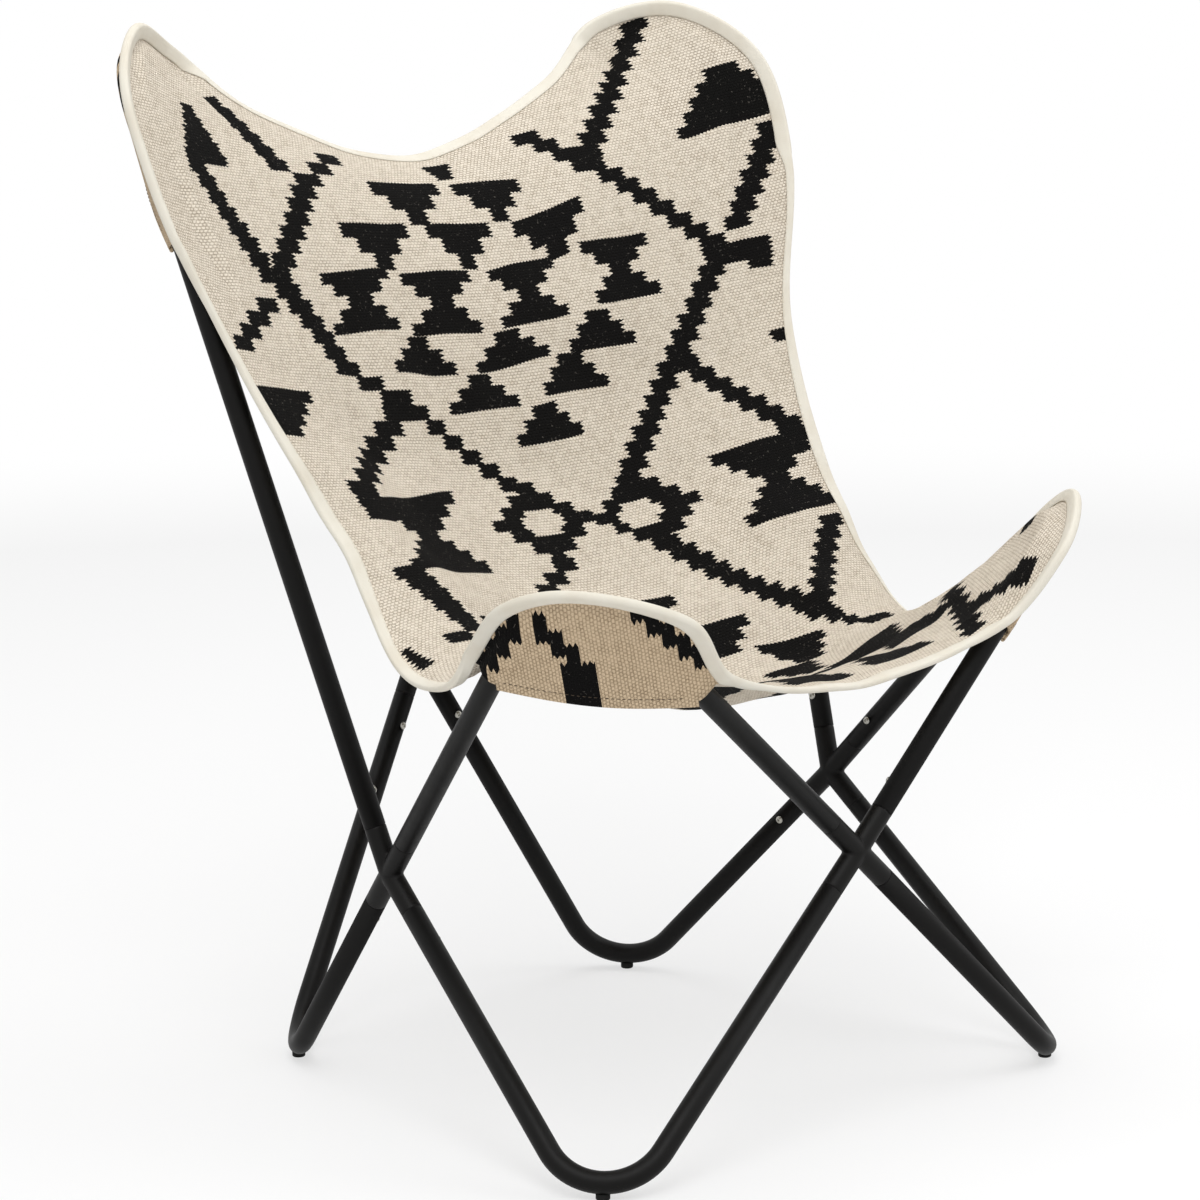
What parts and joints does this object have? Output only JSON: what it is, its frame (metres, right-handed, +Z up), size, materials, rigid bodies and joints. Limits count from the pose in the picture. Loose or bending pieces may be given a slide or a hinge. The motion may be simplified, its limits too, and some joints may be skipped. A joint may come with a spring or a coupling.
{
  "type": "butterfly sling chair",
  "caption": "Butterfly lounge chair: a knock-down frame of bent steel tubes with a woven kilim sling hung over its upper loops by sewn corner pockets.",
  "frame": {"origin": "middle of the chair's footprint box, on the floor under the four glides", "axes": "+X to the right and +Y to the back for someone facing the chair, +Z up; the chair faces -Y"},
  "size_m": [0.7716, 0.6338, 0.9361],
  "materials": {
    "frame": "satin",
    "screws": "satin",
    "glides": "matte",
    "sling": "matte",
    "binding": "matte"
  },
  "bodies": {
    "root": {"leg_front_left": "frame", "leg_front_right": "frame", "leg_back_left": "frame", "leg_back_right": "frame", "loop_front_left": "frame", "loop_front_right": "frame", "loop_back_left": "frame", "loop_back_right": "frame", "cross_front": "frame", "cross_back": "frame", "cross_left": "frame", "cross_right": "frame", "glide_front_left": "glides", "glide_front_right": "glides", "glide_back_left": "glides", "glide_back_right": "glides", "screw_leg_front_left_side": "screws", "screw_leg_front_left_middle": "screws", "screw_leg_front_right_side": "screws", "screw_leg_front_right_middle": "screws", "screw_leg_back_left_side": "screws", "screw_leg_back_left_middle": "screws", "screw_leg_back_right_side": "screws", "screw_leg_back_right_middle": "screws", "screw_loop_front_left_side": "screws", "screw_loop_front_left_middle": "screws", "screw_loop_front_right_side": "screws", "screw_loop_front_right_middle": "screws", "screw_loop_back_left_side": "screws", "screw_loop_back_left_middle": "screws", "screw_loop_back_right_side": "screws", "screw_loop_back_right_middle": "screws", "sling_panel": "sling", "sling_binding": "binding", "pocket_front_left": "sling", "pocket_front_right": "sling", "pocket_back_left": "sling", "pocket_back_right": "sling"}
  },
  "joints": []
}
